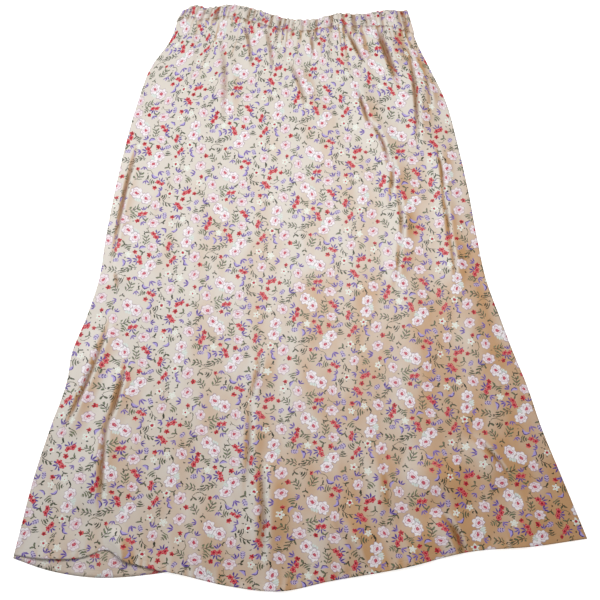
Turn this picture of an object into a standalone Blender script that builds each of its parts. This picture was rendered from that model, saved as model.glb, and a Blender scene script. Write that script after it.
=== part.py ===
"""A-line maxi skirt with a gathered elastic waist, laid flat with its front up.

The waist points to +Y, +Z is up out of the cloth and the underside lies on z = 0.
Sizes are in metres. The lines of the cut are given as short tables about a middle
line of the cloth, and the finished skirt is then centred on the origin.
"""

from math import cos, pi, sin

import bmesh
import bpy
import numpy as np

# Cloth and seams: the band's seam is wider, so that its leaning wall clears the panels.
PANEL_WALL = 0.0012
BAND_WALL = 0.0020
SEAM_GAP = 0.0003
BAND_SEAM_GAP = 0.0007
BAND_HOLLOW = 0.0004

# Fineness of the faceted cloth
CLOTH_ACROSS = 44
FRONT_DOWN = 38
BACK_DOWN = 9
BAND_ROUND = 4
BAND_UP = 2

# The skirt's sides: height of the row, and the left and right edge of the cloth there.
SIDE_ROWS = [
    # y,     left,   right
    (0.495, -0.203, 0.180),
    (0.450, -0.217, 0.193),
    (0.400, -0.247, 0.214),
    (0.340, -0.265, 0.238),
    (0.260, -0.282, 0.255),
    (0.180, -0.295, 0.268),
    (0.100, -0.305, 0.278),
    (0.030, -0.312, 0.289),
    (-0.030, -0.328, 0.307),
    (-0.085, -0.346, 0.324),
    (-0.125, -0.350, 0.338),
    (-0.200, -0.371, 0.359),
    (-0.270, -0.389, 0.383),
    (-0.340, -0.402, 0.407),
    (-0.390, -0.411, 0.424),
]

# The band: how far across it the row lies, its top edge and its depth there.
BAND_ROWS = [
    # across, top,   depth
    (0.00, 0.506, 0.023),
    (0.05, 0.516, 0.024),
    (0.10, 0.511, 0.024),
    (0.20, 0.517, 0.024),
    (0.30, 0.511, 0.024),
    (0.40, 0.498, 0.024),
    (0.47, 0.490, 0.023),
    (0.60, 0.490, 0.023),
    (0.68, 0.499, 0.024),
    (0.80, 0.499, 0.025),
    (0.90, 0.505, 0.032),
    (1.00, 0.506, 0.046),
]

# The two ends of the band's top edge.
BAND_TOP_LEFT = -0.196
BAND_TOP_RIGHT = 0.179

# The hem: how far across the panel the row lies, the front's hem and the back's hem.
# The front lies higher than the back over the left corner, and hides it elsewhere.
HEM_ROWS = [
    # across, front, back
    (0.00, -0.379, -0.383),
    (0.06, -0.384, -0.399),
    (0.12, -0.382, -0.408),
    (0.16, -0.372, -0.410),
    (0.19, -0.386, -0.409),
    (0.24, -0.398, -0.405),
    (0.28, -0.404, -0.401),
    (0.37, -0.421, -0.418),
    (0.46, -0.428, -0.425),
    (0.54, -0.415, -0.412),
    (0.66, -0.398, -0.395),
    (0.79, -0.374, -0.371),
    (0.90, -0.367, -0.364),
    (1.00, -0.356, -0.356),
]

# The largest folds of the front: both ends of the crest, how far its middle bows
# to the right, half its width and its height.
FOLDS = [
    # x0,     y0,     x1,     y1,     bow,    half,  height
    (-0.250, 0.270, -0.290, 0.030, 0.004, 0.026, 0.0060),
    (-0.285, -0.040, -0.338, -0.205, 0.004, 0.026, 0.0060),
    (-0.250, -0.090, -0.275, -0.305, -0.006, 0.024, 0.0045),
    (-0.330, -0.360, -0.262, -0.362, 0.000, 0.030, 0.0050),
    (-0.133, 0.470, -0.126, 0.290, 0.006, 0.026, 0.0045),
    (-0.070, 0.480, -0.050, 0.380, 0.004, 0.022, 0.0040),
    (-0.016, 0.475, 0.012, 0.315, 0.004, 0.024, 0.0045),
    (0.068, 0.480, 0.104, 0.400, -0.003, 0.022, 0.0050),
    (0.122, 0.475, 0.160, 0.365, -0.003, 0.024, 0.0070),
    (0.094, 0.365, 0.142, 0.220, 0.006, 0.024, 0.0050),
    (0.178, 0.430, 0.186, 0.265, 0.004, 0.024, 0.0060),
    (0.218, 0.260, 0.226, 0.150, 0.003, 0.024, 0.0045),
    (-0.072, -0.180, -0.050, -0.400, 0.004, 0.028, 0.0045),
    (0.040, -0.270, 0.052, -0.412, 0.002, 0.030, 0.0030),
    (0.255, -0.200, 0.312, -0.290, 0.004, 0.026, 0.0050),
    (0.195, -0.310, 0.225, -0.380, 0.003, 0.026, 0.0060),
]

# The broad soft waves that the flare leaves in the front.
WAVES_ACROSS = 5
WAVE_HEIGHT = 0.0012

# The folds and waves die away over this share of the panel's width at its sides,
# and over this share of its length at the band.
SIDE_FADE = 0.05
TOP_FADE = 0.08

# Gathers of the band's front.
GATHERS = 13
GATHER_HEIGHT = 0.0012

CLOTH = {"base": (0.66, 0.54, 0.42, 1.0), "roughness": 0.55}
CLOTH_BACK = {"base": (0.62, 0.50, 0.38, 1.0), "roughness": 0.60}
CLOTH_BAND = {"base": (0.64, 0.52, 0.40, 1.0), "roughness": 0.58}


def through(rows, column, at):
    """Return a smooth curve through one column of a table, read where `at` says."""
    knots = np.array([row[0] for row in rows])
    values = np.array([row[column] for row in rows])
    if knots[0] > knots[-1]:
        knots = knots[::-1]
        values = values[::-1]
    slopes = np.gradient(values, knots)
    at = float(np.clip(at, knots[0], knots[-1]))
    left = int(np.clip(np.searchsorted(knots, at) - 1, 0, len(knots) - 2))
    span = knots[left + 1] - knots[left]
    t = (at - knots[left]) / span
    rise = 3.0 * t * t - 2.0 * t * t * t
    start_pull = t * (1.0 - t) * (1.0 - t)
    end_pull = t * t * (t - 1.0)
    value = values[left] * (1.0 - rise) + values[left + 1] * rise
    value += span * (slopes[left] * start_pull + slopes[left + 1] * end_pull)
    return float(value)


def fade(distance, reach):
    """Return 0 at an edge and 1 from `reach` inwards, with a soft start."""
    t = min(max(distance / reach, 0.0), 1.0)
    return t * t * (3.0 - 2.0 * t)


def panel_point(across, down, hem_column):
    """Return x and y of a panel's point, from its two sides, its top and its hem."""
    top = through(BAND_ROWS, 1, across) - through(BAND_ROWS, 2, across)
    hem = through(HEM_ROWS, hem_column, across)
    y = top + (hem - top) * down
    left = through(SIDE_ROWS, 1, y)
    right = through(SIDE_ROWS, 2, y)
    return left + (right - left) * across, y


def fold_lift(x, y):
    """Return how high the folds raise the front at a point.

    Each fold is a bell across its crest line, and tapers to nothing at both ends.
    """
    lift = 0.0
    for x0, y0, x1, y1, bow, half, height in FOLDS:
        along_x = x1 - x0
        along_y = y1 - y0
        length = (along_x * along_x + along_y * along_y) ** 0.5
        t = ((x - x0) * along_x + (y - y0) * along_y) / (length * length)
        if t <= -0.15 or t >= 1.15:
            continue
        taper = sin(pi * (t + 0.15) / 1.3) ** 1.5
        side = ((x - x0) * -along_y + (y - y0) * along_x) / length
        side -= bow * (1.0 - (2.0 * t - 1.0) ** 2)
        lift += height * taper * np.exp(-(side / half) ** 2)
    return lift


def front_height(across, down, x, y):
    """Return the height of the front panel's underside above the floor."""
    rest = PANEL_WALL + SEAM_GAP
    waves = WAVE_HEIGHT * (1.0 - cos(2.0 * pi * WAVES_ACROSS * across)) * down
    side = fade(across, SIDE_FADE) * fade(1.0 - across, SIDE_FADE)
    return rest + (waves + fold_lift(x, y)) * side * fade(down, TOP_FADE)


def sheet(name, columns, rows, place, wall, side):
    """Return a cloth sheet: a grid laid out by `place`, thickened by Solidify.

    The wall lies above the grid where `side` is 1, and half on each side where it is 0.
    """
    shape = bmesh.new()
    bmesh.ops.create_grid(shape, x_segments=columns, y_segments=rows, size=0.5)
    for vertex in shape.verts:
        vertex.co = place(vertex.co.x + 0.5, 0.5 - vertex.co.y)
    bmesh.ops.remove_doubles(shape, verts=shape.verts, dist=0.00001)
    mesh = bpy.data.meshes.new(name)
    shape.to_mesh(mesh)
    shape.free()
    cloth = bpy.data.objects.new(name, mesh)
    thicken = cloth.modifiers.new("wall", "SOLIDIFY")
    thicken.thickness = wall
    thicken.offset = side
    return cloth


def front_point(across, down):
    """Return the front panel's point at a share across and a share down."""
    x, y = panel_point(across, down, 1)
    return x, y, front_height(across, down, x, y)


def back_point(across, down):
    """Return the back panel's point at a share across and a share down."""
    x, y = panel_point(across, down, 2)
    return x, y, 0.0


def band_section():
    """Return the band's ring seen from its end, one row for each column of the mesh.

    A row holds the share across, the reach past that end and the height. The ring
    runs along the back, round the right end, along the front and round the left end.
    """
    half = (BAND_WALL + BAND_HOLLOW) / 2.0
    middle = BAND_WALL / 2.0 + half
    rows = []
    for step in range(CLOTH_ACROSS + 1):
        rows.append((step / CLOTH_ACROSS, 0.0, middle - half))
    for step in range(1, BAND_ROUND):
        angle = pi * step / BAND_ROUND
        rows.append((1.0, half * sin(angle), middle - half * cos(angle)))
    for step in range(CLOTH_ACROSS + 1):
        share = step / CLOTH_ACROSS
        swell = GATHER_HEIGHT * sin(pi * GATHERS * share) ** 2
        rows.append((1.0 - share, 0.0, middle + half + swell))
    for step in range(1, BAND_ROUND):
        angle = pi * step / BAND_ROUND
        rows.append((0.0, -half * sin(angle), middle + half * cos(angle)))
    return rows


def waistband():
    """Return the elastic casing: a flattened ring, open at its top and lower edge.

    The grid's last column falls on its first, where the sheet merges them.
    """
    section = band_section()
    columns = len(section)

    def band_point(turn, down):
        """Return the ring's point at a share of its round and a share down."""
        across, reach, height = section[round(turn * columns) % columns]
        low_x, low_y = panel_point(across, 0.0, 1)
        low_y += BAND_SEAM_GAP
        top_x = BAND_TOP_LEFT + (BAND_TOP_RIGHT - BAND_TOP_LEFT) * across
        top_y = through(BAND_ROWS, 1, across)
        x = top_x + (low_x - top_x) * down + reach
        y = top_y + (low_y - top_y) * down
        return x, y, height

    return sheet("waistband", columns, BAND_UP, band_point, BAND_WALL, 0.0)


def finish(part, look):
    """Give a part its own Principled material and smooth shading."""
    material = bpy.data.materials.new(part.name + "_cloth")
    material.use_nodes = True
    shader = material.node_tree.nodes["Principled BSDF"]
    shader.inputs["Base Color"].default_value = look["base"]
    shader.inputs["Roughness"].default_value = look["roughness"]
    shader.inputs["Metallic"].default_value = 0.0
    part.data.materials.append(material)
    part.data.shade_smooth()


def centre(parts):
    """Move all parts so that the middle of their common outline is the origin."""
    points = np.array([tuple(vertex.co) for part in parts for vertex in part.data.vertices])
    middle = (points.min(axis=0) + points.max(axis=0)) / 2.0
    for part in parts:
        for vertex in part.data.vertices:
            vertex.co.x -= middle[0]
            vertex.co.y -= middle[1]


def build():
    """Build the skirt's three sewn pieces in one collection."""
    for old in list(bpy.data.objects):
        bpy.data.objects.remove(old, do_unlink=True)
    skirt = bpy.data.collections.new("maxi_skirt")
    bpy.context.scene.collection.children.link(skirt)
    front = sheet("front_panel", CLOTH_ACROSS, FRONT_DOWN, front_point, PANEL_WALL, 1.0)
    back = sheet("back_panel", CLOTH_ACROSS, BACK_DOWN, back_point, PANEL_WALL, 1.0)
    band = waistband()
    finish(front, CLOTH)
    finish(back, CLOTH_BACK)
    finish(band, CLOTH_BAND)
    parts = [front, back, band]
    centre(parts)
    for part in parts:
        skirt.objects.link(part)


build()
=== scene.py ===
"""The looks of a long A-line skirt, laid flat with its front up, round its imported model.

The skirt is three sewn pieces: a front panel, a back panel under it and an elastic
casing. Each is a thin shell worked out on a grid from the cut's lines, its folds and
its gathers, and wears a printed satin whose flowers are drawn in the cloth's own
coordinates. Lengths are in metres, and in millimetres inside the print.
"""
import logging
import math
from dataclasses import dataclass, field
from enum import Enum
from typing import Any, NamedTuple

import bpy
import numpy as np
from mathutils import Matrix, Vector


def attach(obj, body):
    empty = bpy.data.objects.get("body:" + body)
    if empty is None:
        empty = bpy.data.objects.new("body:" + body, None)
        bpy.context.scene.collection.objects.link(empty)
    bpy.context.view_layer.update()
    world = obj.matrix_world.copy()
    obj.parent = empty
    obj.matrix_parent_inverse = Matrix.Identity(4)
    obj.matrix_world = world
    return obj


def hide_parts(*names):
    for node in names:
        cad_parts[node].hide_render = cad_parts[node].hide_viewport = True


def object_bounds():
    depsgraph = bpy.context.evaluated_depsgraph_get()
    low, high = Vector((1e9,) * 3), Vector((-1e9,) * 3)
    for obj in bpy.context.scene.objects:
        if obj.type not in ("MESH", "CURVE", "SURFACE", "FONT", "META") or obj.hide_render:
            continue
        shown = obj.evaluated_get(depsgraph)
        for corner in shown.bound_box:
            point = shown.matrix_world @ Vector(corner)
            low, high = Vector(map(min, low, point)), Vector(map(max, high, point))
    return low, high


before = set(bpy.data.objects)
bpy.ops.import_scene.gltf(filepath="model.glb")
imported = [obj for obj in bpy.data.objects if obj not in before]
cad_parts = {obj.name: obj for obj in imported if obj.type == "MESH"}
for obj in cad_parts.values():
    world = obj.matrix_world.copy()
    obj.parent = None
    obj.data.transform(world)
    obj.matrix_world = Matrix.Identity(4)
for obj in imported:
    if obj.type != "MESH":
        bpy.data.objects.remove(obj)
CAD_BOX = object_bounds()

LOG = logging.getLogger("skirt")
MM = 0.001
TURN = 2.0 * math.pi
Row = tuple[float, ...]


class Layer(Enum):
    """The two panels, by their column in the hem's table."""

    FRONT = 1
    BACK = 2


# ---------------------------------------------------------------- the cut's lines

# Height of the row, and the left and right edge of the cloth there.
SIDE_ROWS: list[Row] = [
    (0.495, -0.203, 0.180),
    (0.450, -0.217, 0.193),
    (0.400, -0.247, 0.214),
    (0.340, -0.265, 0.238),
    (0.260, -0.282, 0.255),
    (0.180, -0.295, 0.268),
    (0.100, -0.305, 0.278),
    (0.030, -0.312, 0.289),
    (-0.030, -0.328, 0.307),
    (-0.085, -0.346, 0.324),
    (-0.125, -0.350, 0.338),
    (-0.200, -0.371, 0.359),
    (-0.270, -0.389, 0.383),
    (-0.340, -0.402, 0.407),
    (-0.390, -0.411, 0.424),
]

# How far across the band the row lies, its top edge and its depth there.
BAND_ROWS: list[Row] = [
    (0.00, 0.506, 0.023),
    (0.05, 0.516, 0.024),
    (0.10, 0.511, 0.024),
    (0.20, 0.517, 0.024),
    (0.30, 0.511, 0.024),
    (0.40, 0.498, 0.024),
    (0.47, 0.490, 0.023),
    (0.60, 0.490, 0.023),
    (0.68, 0.499, 0.024),
    (0.80, 0.499, 0.025),
    (0.90, 0.505, 0.032),
    (1.00, 0.506, 0.046),
]

# How far across the panel the row lies, the front's hem and the back's hem.
HEM_ROWS: list[Row] = [
    (0.00, -0.379, -0.383),
    (0.06, -0.384, -0.399),
    (0.12, -0.382, -0.408),
    (0.16, -0.372, -0.410),
    (0.19, -0.386, -0.409),
    (0.24, -0.398, -0.405),
    (0.28, -0.404, -0.401),
    (0.37, -0.421, -0.418),
    (0.46, -0.428, -0.425),
    (0.54, -0.415, -0.412),
    (0.66, -0.398, -0.395),
    (0.79, -0.374, -0.371),
    (0.90, -0.367, -0.364),
    (1.00, -0.356, -0.356),
]


def through(rows: list[Row], column: int, at: np.ndarray) -> np.ndarray:
    """Read a smooth curve through one column of a table.

    Formula: a cubic between neighbouring rows, whose slopes at the rows are those of
    the table, so that it bends softly and passes through every row.

    Args:
        rows: the table, its first column rising or falling.
        column: the column that holds the values.
        at: where to read the curve, in the units of the first column.

    Returns:
        The curve's values, in the shape of `at`.
    """
    table = np.array(sorted(rows))
    knots = table[:, 0]
    values = table[:, column]
    slopes = np.gradient(values, knots)
    at = np.clip(at, knots[0], knots[-1])
    left = np.clip(np.searchsorted(knots, at) - 1, 0, len(knots) - 2)
    span = knots[left + 1] - knots[left]
    t = (at - knots[left]) / span
    rise = t * t * (3.0 - 2.0 * t)
    pull = slopes[left] * t * (1.0 - t) ** 2 + slopes[left + 1] * t * t * (t - 1.0)
    return values[left] * (1.0 - rise) + values[left + 1] * rise + span * pull


def soft_step(value: np.ndarray, reach: float) -> np.ndarray:
    """Return 0 below zero and 1 above `reach`, with a smooth rise between."""
    t = np.clip(value / reach, 0.0, 1.0)
    return t * t * (3.0 - 2.0 * t)


def add_object(name: str, data: bpy.types.ID) -> bpy.types.Object:
    """Make an object at the origin and link it to the scene."""
    made = bpy.data.objects.new(name, data)
    bpy.context.scene.collection.objects.link(made)
    return made


@dataclass
class Cut:
    """The outline in which the skirt lies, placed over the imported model.

    `seam_gap` parts the band from the panels, `samples` is how many points of each edge
    are read to find the middle, and `shift` moves the tables' own middle onto the frame.
    """

    band_top_left: float = -0.196
    band_top_right: float = 0.179
    seam_gap: float = 0.0007
    samples: int = 400
    shift: np.ndarray = field(default_factory=lambda: np.zeros(2))

    def seat(self, low: Vector, high: Vector) -> None:
        """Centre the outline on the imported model's box.

        Args:
            low: the box's lowest corner.
            high: the box's highest corner.
        """
        share = np.linspace(0.0, 1.0, self.samples)
        edges = []
        for layer in Layer:
            edges.append(np.stack(self.panel(share, np.ones_like(share), layer)))
            edges.append(np.stack(self.panel(np.zeros_like(share), share, layer)))
            edges.append(np.stack(self.panel(np.ones_like(share), share, layer)))
        edges.append(np.stack(self.band(share, np.ones_like(share))))
        points = np.concatenate(edges, axis=1)
        middle = (points.min(axis=1) + points.max(axis=1)) / 2.0
        box_middle = (np.array(low[:2]) + np.array(high[:2])) / 2.0
        self.shift = box_middle - middle

    def panel(
        self, across: np.ndarray, down: np.ndarray, layer: Layer
    ) -> tuple[np.ndarray, np.ndarray]:
        """Return x and y of panel points.

        Formula: the height runs straight from the band's seam to the hem, and at each
        height x runs straight from the left side to the right.

        Args:
            across: share of the way from the left side to the right.
            down: share of the way from the seam to the hem.
            layer: which panel's hem is used.

        Returns:
            x and y, in metres.
        """
        top = through(BAND_ROWS, 1, across) - through(BAND_ROWS, 2, across)
        hem = through(HEM_ROWS, layer.value, across)
        y = top + (hem - top) * down
        left = through(SIDE_ROWS, 1, y)
        right = through(SIDE_ROWS, 2, y)
        x = left + (right - left) * across
        return x + self.shift[0], y + self.shift[1]

    def band(self, across: np.ndarray, up: np.ndarray) -> tuple[np.ndarray, np.ndarray]:
        """Return x and y of band points.

        Formula: straight from the seam, a gap above the panel's top edge, to the
        band's top edge.

        Args:
            across: share of the way from the left end to the right.
            up: share of the way from the seam to the top edge.

        Returns:
            x and y, in metres.
        """
        low_x, low_y = self.panel(across, np.zeros_like(across), Layer.FRONT)
        low_y = low_y + self.seam_gap
        span = self.band_top_right - self.band_top_left
        top_x = self.band_top_left + span * across + self.shift[0]
        top_y = through(BAND_ROWS, 1, across) + self.shift[1]
        return low_x + (top_x - low_x) * up, low_y + (top_y - low_y) * up


# ---------------------------------------------------------------- folds and gathers


class Crease(NamedTuple):
    """One fold: a swell across a crest line, with or without a sharp valley in it.

    The line runs from (x0, y0) to (x1, y1) and its middle bows to the right. `half` is
    half the swell's width and `height` its height. `pinch` is the depth of the valley
    on the line, a share of the height, and `valley` half its width. A positive `lean`
    makes the right side of the swell the higher one.
    """

    x0: float
    y0: float
    x1: float
    y1: float
    bow: float
    half: float
    height: float
    pinch: float
    valley: float
    lean: float


CREASES: list[Crease] = [
    # the left side, from the hip to the hem
    Crease(-0.262, 0.258, -0.291, 0.070, -0.004, 0.020, 0.0062, 1.00, 0.0036, -0.4),
    Crease(-0.287, 0.046, -0.280, 0.018, 0.000, 0.016, 0.0040, 0.80, 0.0030, 0.2),
    Crease(-0.294, -0.048, -0.348, -0.196, 0.003, 0.022, 0.0065, 0.95, 0.0036, -0.3),
    Crease(-0.262, -0.098, -0.287, -0.200, 0.002, 0.020, 0.0056, 0.90, 0.0036, -0.4),
    Crease(-0.287, -0.185, -0.288, -0.305, -0.002, 0.022, 0.0062, 0.90, 0.0038, -0.5),
    Crease(-0.318, -0.240, -0.330, -0.330, 0.004, 0.024, 0.0030, 0.00, 0.0040, 0.0),
    # the gathers' long falls below the band, the last of them far down the right side
    Crease(-0.172, 0.480, -0.186, 0.330, 0.003, 0.022, 0.0034, 0.25, 0.0060, -0.2),
    Crease(-0.134, 0.462, -0.127, 0.290, 0.006, 0.022, 0.0052, 0.55, 0.0070, 0.5),
    Crease(-0.092, 0.478, -0.080, 0.400, 0.002, 0.014, 0.0042, 0.60, 0.0036, -0.3),
    Crease(-0.058, 0.474, -0.046, 0.385, 0.003, 0.015, 0.0040, 0.60, 0.0038, 0.3),
    Crease(-0.019, 0.415, 0.012, 0.318, 0.003, 0.018, 0.0046, 0.60, 0.0045, 0.4),
    Crease(0.018, 0.468, 0.021, 0.415, 0.001, 0.014, 0.0040, 0.70, 0.0032, -0.2),
    Crease(0.046, 0.470, 0.052, 0.380, 0.002, 0.018, 0.0030, 0.25, 0.0050, 0.0),
    Crease(0.074, 0.476, 0.108, 0.410, -0.002, 0.016, 0.0050, 0.90, 0.0034, 0.4),
    Crease(0.130, 0.478, 0.163, 0.374, -0.003, 0.022, 0.0084, 1.00, 0.0050, 0.3),
    Crease(0.096, 0.360, 0.116, 0.292, -0.002, 0.018, 0.0050, 0.90, 0.0034, -0.4),
    Crease(0.120, 0.296, 0.143, 0.226, 0.003, 0.018, 0.0048, 0.85, 0.0034, -0.3),
    Crease(0.150, 0.232, 0.144, 0.166, 0.001, 0.018, 0.0042, 0.80, 0.0032, 0.3),
    Crease(0.184, 0.424, 0.191, 0.272, 0.002, 0.018, 0.0060, 0.90, 0.0036, 0.4),
    Crease(0.206, 0.392, 0.214, 0.320, 0.002, 0.014, 0.0034, 0.50, 0.0034, 0.2),
    Crease(0.223, 0.250, 0.229, 0.168, 0.002, 0.014, 0.0044, 0.80, 0.0030, -0.3),
    Crease(0.158, 0.168, 0.159, 0.090, 0.002, 0.015, 0.0040, 0.70, 0.0034, 0.3),
    Crease(0.157, 0.094, 0.147, 0.024, 0.001, 0.015, 0.0034, 0.55, 0.0034, -0.3),
    Crease(0.229, 0.170, 0.235, 0.098, 0.001, 0.015, 0.0040, 0.70, 0.0034, -0.3),
    Crease(0.236, 0.102, 0.241, 0.030, 0.001, 0.015, 0.0034, 0.55, 0.0034, 0.3),
    # the flutes of the lower half
    Crease(-0.059, -0.082, -0.072, -0.150, 0.001, 0.018, 0.0044, 0.70, 0.0036, 0.3),
    Crease(-0.073, -0.150, -0.078, -0.285, 0.000, 0.022, 0.0052, 0.60, 0.0046, 0.4),
    Crease(-0.056, -0.250, -0.054, -0.385, 0.001, 0.026, 0.0068, 0.70, 0.0060, 0.5),
    Crease(-0.160, -0.300, -0.150, -0.420, 0.002, 0.030, 0.0034, 0.00, 0.0060, 0.0),
    Crease(0.046, -0.250, 0.054, -0.420, 0.003, 0.030, 0.0036, 0.20, 0.0090, -0.3),
    Crease(0.118, -0.235, 0.128, -0.330, 0.003, 0.024, 0.0034, 0.35, 0.0070, -0.5),
    Crease(0.259, -0.212, 0.305, -0.268, 0.003, 0.020, 0.0046, 0.70, 0.0038, -0.4),
    Crease(0.206, -0.322, 0.236, -0.382, 0.004, 0.024, 0.0064, 0.80, 0.0060, -0.5),
    Crease(0.150, -0.340, 0.176, -0.400, 0.003, 0.026, 0.0040, 0.20, 0.0070, 0.0),
    Crease(0.160, -0.256, 0.240, -0.306, 0.010, 0.026, 0.0060, 0.00, 0.0070, 0.0),
    Crease(0.052, -0.330, 0.092, -0.410, 0.006, 0.022, 0.0046, 0.30, 0.0080, 0.4),
    Crease(0.318, -0.300, 0.336, -0.372, 0.002, 0.026, 0.0030, 0.20, 0.0070, 0.2),
    # long shallow swells that the flare leaves
    Crease(-0.215, 0.300, -0.250, -0.100, 0.000, 0.030, 0.0020, 0.00, 0.0060, 0.0),
    Crease(-0.150, 0.250, -0.180, -0.260, 0.004, 0.034, 0.0024, 0.00, 0.0060, 0.0),
    Crease(-0.060, 0.330, -0.090, -0.160, 0.000, 0.030, 0.0022, 0.00, 0.0060, 0.0),
    Crease(0.010, 0.300, -0.004, -0.220, 0.004, 0.032, 0.0026, 0.00, 0.0060, 0.0),
    Crease(0.070, 0.240, 0.092, -0.250, 0.000, 0.034, 0.0024, 0.00, 0.0060, 0.0),
    Crease(0.150, 0.150, 0.186, -0.300, 0.004, 0.034, 0.0026, 0.00, 0.0060, 0.0),
    Crease(0.216, 0.130, 0.290, -0.180, 0.000, 0.030, 0.0024, 0.00, 0.0060, 0.0),
    # the front's hem over the left corner, which stands clear of the back's
    Crease(-0.405, -0.372, -0.275, -0.366, 0.000, 0.020, 0.0016, 0.00, 0.0050, 0.0),
    Crease(-0.270, -0.346, -0.250, -0.396, 0.002, 0.011, 0.0085, 0.00, 0.0050, 0.2),
]


@dataclass(frozen=True)
class Folds:
    """All creases of the front, read together.

    `run_out` is how far past its ends a crease fades, a share of its length.
    `take_up` is how much cloth a pinched crease swallows, for each metre of its height.
    `taper_power` sharpens the ends, and `lean_rate` how fast a leaning swell tips over.
    """

    creases: tuple[Crease, ...]
    shift: tuple[float, float]
    run_out: float = 0.16
    take_up: float = 0.9
    taper_power: float = 1.4
    lean_rate: float = 1.5

    def read(self, x: np.ndarray, y: np.ndarray) -> tuple[np.ndarray, np.ndarray, np.ndarray]:
        """Work out the folds at points of the front.

        Formula: for each crease, a bell across its bowed line, less a narrower bell of
        the same height where it is pinched, both tapering along the line as a sine.

        Args:
            x: the points' x.
            y: the points' y.

        Returns:
            The lift in metres, how deep in a valley the point lies from 0 to 1, and
            how far the print is drawn sideways into the folds, in metres.
        """
        lift = np.zeros_like(x)
        depth = np.zeros_like(x)
        slip = np.zeros_like(x)
        for fold in self.creases:
            from_x = x - fold.x0 - self.shift[0]
            from_y = y - fold.y0 - self.shift[1]
            run = np.array([fold.x1 - fold.x0, fold.y1 - fold.y0])
            length = float(np.hypot(*run))
            t = (from_x * run[0] + from_y * run[1]) / length**2
            phase = np.clip((t + self.run_out) / (1.0 + 2.0 * self.run_out), 0.0, 1.0)
            taper = np.sin(math.pi * phase) ** self.taper_power
            side = (from_y * run[0] - from_x * run[1]) / length
            side = side - fold.bow * (1.0 - (2.0 * t - 1.0) ** 2)
            swell = np.exp(-((side / fold.half) ** 2))
            swell *= 1.0 + fold.lean * np.tanh(self.lean_rate * side / fold.half)
            valley = fold.pinch * np.exp(-((side / fold.valley) ** 2))
            lift += fold.height * taper * (swell - valley)
            depth += taper * valley
            draw = np.tanh(side / fold.valley) * swell
            slip += self.take_up * fold.height * fold.pinch * taper * draw
        return np.maximum(lift, 0.0), np.clip(depth, 0.0, 1.0), slip


@dataclass(frozen=True)
class Gathers:
    """The small puckers that the elastic draws in the band and in the panel below it.

    Each pucker's half width lies between `thin` and `thick`, its reach between `short`
    and `long` and its height between `low` and `high`. It widens by `widening` over its
    reach, and ends `far` reaches down.
    """

    count: int = 50
    seed: int = 11
    thin: float = 0.0016
    thick: float = 0.0040
    short: float = 0.012
    long: float = 0.080
    low: float = 0.0010
    high: float = 0.0036
    widening: float = 0.8
    far: float = 4.0

    def read(self, across: np.ndarray, width: np.ndarray, below: np.ndarray) -> np.ndarray:
        """Work out the puckers' height.

        Formula: each pucker is a bell across its own place on the band, widening and
        sinking as it runs down from the seam; above the seam it keeps its height.

        Args:
            across: share of the way across the skirt.
            width: the skirt's width there, in metres.
            below: how far below the seam the point lies, negative on the band.

        Returns:
            The height in metres.
        """
        draw = np.random.default_rng(self.seed)
        places = (np.arange(self.count) + draw.uniform(0.1, 0.9, self.count)) / self.count
        halves = draw.uniform(self.thin, self.thick, self.count)
        reaches = self.short + (self.long - self.short) * draw.uniform(0, 1, self.count) ** 2
        heights = draw.uniform(self.low, self.high, self.count)
        rise = np.zeros_like(across)
        for place, half, reach, height in zip(places, halves, reaches, heights):
            run = np.clip(below / reach, 0.0, self.far)
            spread = half * (1.0 + self.widening * run)
            offset = (across - place) * width
            rise += height * np.exp(-((offset / spread) ** 2)) * np.exp(-(run**2))
        return rise


# ---------------------------------------------------------------- shader expressions


class Num:
    """A number on a surface: wraps a socket, so that sums of it add their Math nodes."""

    def __init__(self, graph: "Graph", socket: bpy.types.NodeSocket) -> None:
        """Keep the graph and the socket that the number comes from."""
        self.graph = graph
        self.socket = socket

    def __add__(self, other: Any) -> "Num":
        """Add."""
        return self.graph.math("ADD", self, other)

    def __radd__(self, other: Any) -> "Num":
        """Add, from the right."""
        return self.graph.math("ADD", other, self)

    def __sub__(self, other: Any) -> "Num":
        """Subtract."""
        return self.graph.math("SUBTRACT", self, other)

    def __rsub__(self, other: Any) -> "Num":
        """Subtract this from a number."""
        return self.graph.math("SUBTRACT", other, self)

    def __mul__(self, other: Any) -> "Num":
        """Multiply."""
        return self.graph.math("MULTIPLY", self, other)

    def __rmul__(self, other: Any) -> "Num":
        """Multiply, from the right."""
        return self.graph.math("MULTIPLY", other, self)

    def __truediv__(self, other: Any) -> "Num":
        """Divide."""
        return self.graph.math("DIVIDE", self, other)

    def __rtruediv__(self, other: Any) -> "Num":
        """Divide a number by this."""
        return self.graph.math("DIVIDE", other, self)

    def __abs__(self) -> "Num":
        """Return the size without the sign."""
        return self.graph.math("ABSOLUTE", self)

    def below(self, edge: Any, soft: float) -> "Num":
        """Return 1 where this lies under `edge`, falling to 0 at the edge over `soft`."""
        if isinstance(edge, Num):
            return self.graph.math("MULTIPLY", edge - self, 1.0 / soft, clamp=True)
        return self.graph.math("MULTIPLY_ADD", self, -1.0 / soft, edge / soft, clamp=True)


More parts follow.
